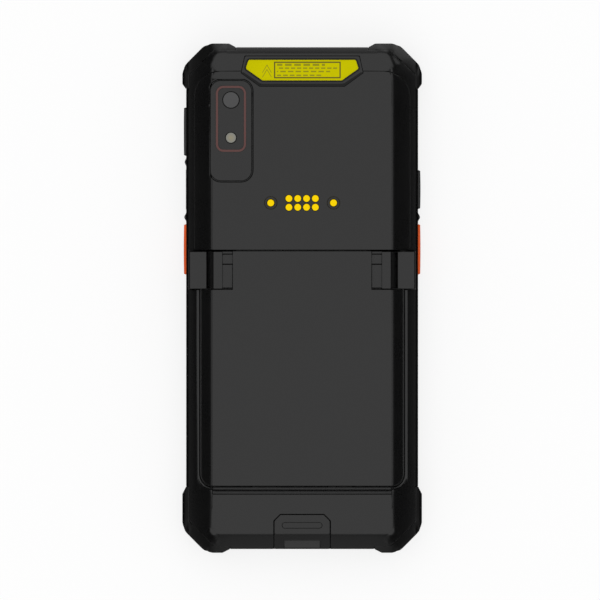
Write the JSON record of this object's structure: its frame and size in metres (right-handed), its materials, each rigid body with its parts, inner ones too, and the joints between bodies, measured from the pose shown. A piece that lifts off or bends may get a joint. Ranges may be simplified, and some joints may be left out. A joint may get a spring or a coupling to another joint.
{
  "type": "portable barcode data terminal",
  "caption": "Rugged handheld scanning terminal with corner bumpers, a removable latched battery pack, side keys, a rear camera and a rubber port cover.",
  "frame": {"origin": "middle of the footprint, on the plane of the bumper flanges that the terminal lies on, screen down", "axes": "+X to the right seen from the back, +Y towards the scan window, +Z out of the back"},
  "size_m": [0.0754, 0.1604, 0.0169],
  "materials": {
    "housing_black": "fine texture",
    "rubber_black": "matte",
    "foam_black": "matte",
    "cover_glass": "polished",
    "display": "polished",
    "chassis_metal": "as cast",
    "label_yellow": "satin",
    "scan_window_red": "polished",
    "engine_black": "moulded",
    "trim_red": "satin",
    "lens_glass": "polished",
    "flash_lens": "clear",
    "board_green": "lacquered",
    "film_amber": "satin",
    "gold": "plated",
    "connector_ivory": "moulded",
    "steel": "brushed",
    "cell_foil": "foil",
    "key_black": "matte",
    "key_orange": "satin"
  },
  "bodies": {
    "housing": {"front_frame": "housing_black", "cover_glass": "cover_glass", "glass_tape": "foam_black", "display_module": "display", "chassis_plate": "chassis_metal", "rear_housing": "housing_black", "upper_cover": "housing_black", "bumper_top_left": "rubber_black", "bumper_top_right": "rubber_black", "bumper_bottom_left": "rubber_black", "bumper_bottom_right": "rubber_black", "label_bezel": "housing_black", "label_plate": "label_yellow", "scan_window": "scan_window_red", "scan_engine": "engine_black", "camera_plate": "housing_black", "camera_trim": "trim_red", "camera_lens": "lens_glass", "camera_module": "engine_black", "camera_bracket": "engine_black", "flash_lens": "flash_lens", "flash_board": "board_green", "contact_block": "engine_black", "contact_pins": "gold", "locating_contacts": "gold", "main_board": "board_green", "shield_cans": "steel", "card_socket": "steel", "battery_connector": "connector_ivory", "connector_seal": "foam_black", "sub_board": "board_green", "board_flex": "film_amber", "usb_socket": "steel", "speaker": "engine_black", "vibration_motor": "steel", "microphone": "steel", "earpiece": "engine_black", "earpiece_mesh": "steel", "front_camera": "engine_black", "antenna_film": "film_amber", "key_strip_left": "film_amber", "key_strip_right": "film_amber", "key_blank": "housing_black", "housing_screws": "steel", "usb_cover_anchor": "rubber_black"},
    "battery_pack": {"pack_case": "housing_black", "pack_cover": "housing_black", "battery_cell": "cell_foil", "pack_board": "board_green", "pack_contacts": "gold"},
    "left_latch": {"latch_left": "housing_black", "latch_spring_left": "steel"},
    "right_latch": {"latch_right": "housing_black", "latch_spring_right": "steel"},
    "usb_flap": {"usb_cover": "rubber_black"},
    "volume_rocker": {"volume_key": "key_black"},
    "left_scan_button": {"scan_key_left": "key_orange"},
    "right_scan_button": {"scan_key_right": "key_orange"},
    "power_button": {"power_key": "key_black"}
  },
  "joints": [
    {"name": "pack_tilt", "type": "hinge", "parent": "housing", "child": "battery_pack", "pos_m": [0, -0.0586, 0.015], "axis": [1, 0, 0], "range_deg": [0, 25]},
    {"name": "left_latch_slide", "type": "slide", "parent": "battery_pack", "child": "left_latch", "axis": [1, 0, 0], "range_m": [0, 0.0025], "stiffness_N_per_m": 200, "springref_m": -0.003},
    {"name": "right_latch_slide", "type": "slide", "parent": "battery_pack", "child": "right_latch", "axis": [-1, 0, 0], "range_m": [0, 0.0025], "stiffness_N_per_m": 200, "springref_m": -0.003},
    {"name": "usb_flap_fold", "type": "hinge", "parent": "housing", "child": "usb_flap", "pos_m": [0, -0.0703, 0.0163], "axis": [-1, 0, 0], "range_deg": [0, 110]},
    {"name": "volume_rock", "type": "hinge", "parent": "housing", "child": "volume_rocker", "pos_m": [-0.0342, 0.0525, 0.0043], "axis": [0, 0, 1], "range_deg": [-2, 2], "stiffness_Nm_per_rad": 0.02},
    {"name": "left_scan_press", "type": "slide", "parent": "housing", "child": "left_scan_button", "axis": [1, 0, 0], "range_m": [0, 0.0004], "stiffness_N_per_m": 400, "springref_m": -0.0005},
    {"name": "right_scan_press", "type": "slide", "parent": "housing", "child": "right_scan_button", "axis": [-1, 0, 0], "range_m": [0, 0.0004], "stiffness_N_per_m": 400, "springref_m": -0.0005},
    {"name": "power_press", "type": "slide", "parent": "housing", "child": "power_button", "axis": [-1, 0, 0], "range_m": [0, 0.0004], "stiffness_N_per_m": 400, "springref_m": -0.0005}
  ]
}
